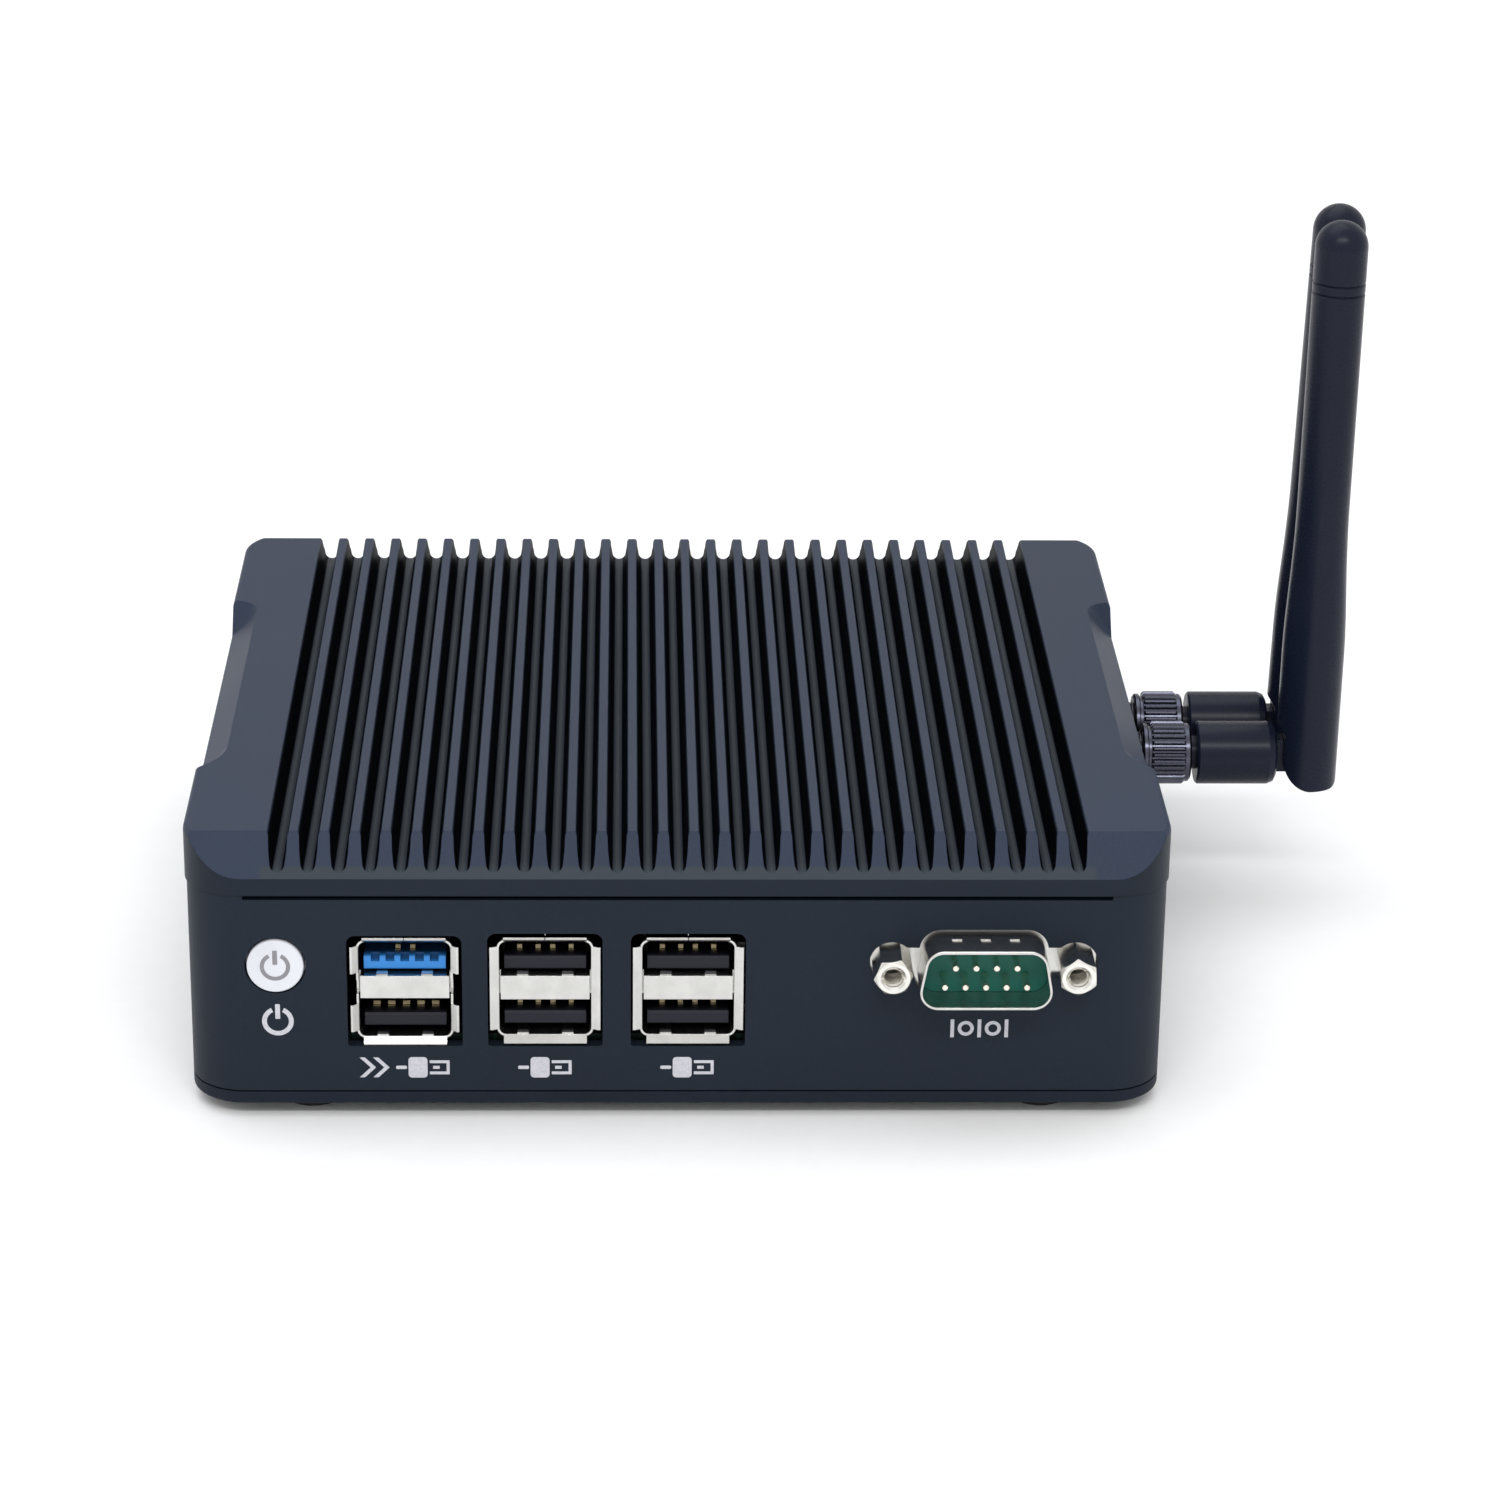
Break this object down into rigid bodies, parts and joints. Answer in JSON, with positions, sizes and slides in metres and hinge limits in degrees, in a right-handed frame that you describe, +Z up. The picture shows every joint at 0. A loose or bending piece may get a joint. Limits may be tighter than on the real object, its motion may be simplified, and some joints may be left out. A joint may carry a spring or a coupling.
{
  "type": "mini pc",
  "caption": "Flat fanless desktop computer in a finned metal case, with front ports, a round power button and folding upright antennas.",
  "frame": {"origin": "middle of the case's footprint, on the underside of the bottom cover", "axes": "+X to the right seen from the front, +Y from the front ports to the back, +Z up; the rubber feet reach 2 mm below the origin plane"},
  "size_m": [0.1681, 0.1347, 0.1064],
  "materials": {
    "lid_metal": "bead-blasted, dark grey anodised",
    "frame_metal": "satin dark grey powder coat",
    "cover_metal": "satin dark grey powder coat",
    "foot_rubber": "matt",
    "black_screw": "black oxide",
    "button_plastic": "silver white satin",
    "black_plastic": "moulded",
    "blue_plastic": "moulded",
    "teal_plastic": "moulded",
    "video_blue_plastic": "moulded",
    "connector_nickel": "satin nickel plate",
    "contact_gold": "gold plate",
    "pin_metal": "bright plate",
    "jackscrew_nickel": "bright nickel plate",
    "circuit_board": "solder resist over glass fibre",
    "chip_black": "moulded",
    "block_aluminium": "milled",
    "steel": "zinc plate",
    "pad_grey": "soft pad",
    "capacitor_can": "drawn can",
    "coil_grey": "moulded ferrite",
    "lead_sheath": "smooth sheath",
    "black_nickel": "black plate",
    "antenna_black": "satin black moulding",
    "nut_black": "gloss black plate"
  },
  "bodies": {
    "case": {"heatsink_lid": "lid_metal", "main_frame": "frame_metal", "bottom_cover": "cover_metal", "rubber_feet": "foot_rubber", "case_screws": "black_screw", "power_switch": "steel", "switch_board": "circuit_board", "usb3_shell": "connector_nickel", "usb2_left_shell": "connector_nickel", "usb2_right_shell": "connector_nickel", "usb3_upper_tongue": "blue_plastic", "usb3_lower_tongue": "black_plastic", "usb2_left_tongues": "black_plastic", "usb2_right_tongues": "black_plastic", "usb_contacts": "contact_gold", "serial_shell": "connector_nickel", "serial_insulator": "teal_plastic", "connector_pins": "pin_metal", "jackscrews": "jackscrew_nickel", "power_inlet": "black_plastic", "vga_shell": "connector_nickel", "vga_insulator": "video_blue_plastic", "hdmi_shell": "connector_nickel", "hdmi_tongue": "black_plastic", "lan_jacks": "connector_nickel", "lan_contacts": "contact_gold", "audio_jacks": "black_plastic", "mainboard": "circuit_board", "board_standoffs": "steel", "board_screws": "steel", "processor_package": "chip_black", "thermal_pad": "pad_grey", "heat_block": "block_aluminium", "heat_block_screws": "steel", "memory_socket": "black_plastic", "memory_module": "circuit_board", "card_sockets": "black_plastic", "ssd_card": "circuit_board", "wifi_card": "circuit_board", "wifi_shield": "connector_nickel", "card_screws": "steel", "coin_cell_holder": "black_plastic", "coin_cell": "steel", "power_inductors": "coil_grey", "board_capacitors": "capacitor_can", "chips": "chip_black", "antenna_jacks": "black_nickel", "antenna_lock_nuts": "black_nickel", "aerial_leads": "lead_sheath", "lead_plugs": "contact_gold"},
    "button": {"power_button": "button_plastic", "switch_plunger": "black_plastic"},
    "front_nut": {"front_antenna_nut": "nut_black"},
    "front_sleeve": {"front_antenna_sleeve": "antenna_black", "front_antenna_pin": "black_screw"},
    "front_blade": {"front_antenna_blade": "antenna_black"},
    "rear_nut": {"rear_antenna_nut": "nut_black"},
    "rear_sleeve": {"rear_antenna_sleeve": "antenna_black", "rear_antenna_pin": "black_screw"},
    "rear_blade": {"rear_antenna_blade": "antenna_black"}
  },
  "joints": [
    {"name": "button_press", "type": "slide", "parent": "case", "child": "button", "axis": [0, 1, 0], "range_m": [0, 0.0005], "stiffness_N_per_m": 1500, "springref_m": -0.0004},
    {"name": "front_nut_spin", "type": "hinge", "parent": "case", "child": "front_nut", "pos_m": [0.0743, 0.0118, 0.022], "axis": [1, 0, 0], "continuous": true},
    {"name": "front_antenna_swivel", "type": "hinge", "parent": "case", "child": "front_sleeve", "pos_m": [0.0847, 0.0118, 0.022], "axis": [1, 0, 0], "range_deg": [0, 90]},
    {"name": "front_antenna_tilt", "type": "hinge", "parent": "front_sleeve", "child": "front_blade", "pos_m": [0.09545, 0.0118, 0.022], "axis": [0, 0.9998, -0.0192], "range_deg": [0, 89]},
    {"name": "rear_nut_spin", "type": "hinge", "parent": "case", "child": "rear_nut", "pos_m": [0.0743, 0.0238, 0.022], "axis": [1, 0, 0], "continuous": true},
    {"name": "rear_antenna_swivel", "type": "hinge", "parent": "case", "child": "rear_sleeve", "pos_m": [0.0847, 0.0238, 0.022], "axis": [-1, 0, 0], "range_deg": [0, 90]},
    {"name": "rear_antenna_tilt", "type": "hinge", "parent": "rear_sleeve", "child": "rear_blade", "pos_m": [0.09545, 0.0238, 0.022], "axis": [0, 0.9998, 0.0192], "range_deg": [0, 88]}
  ]
}
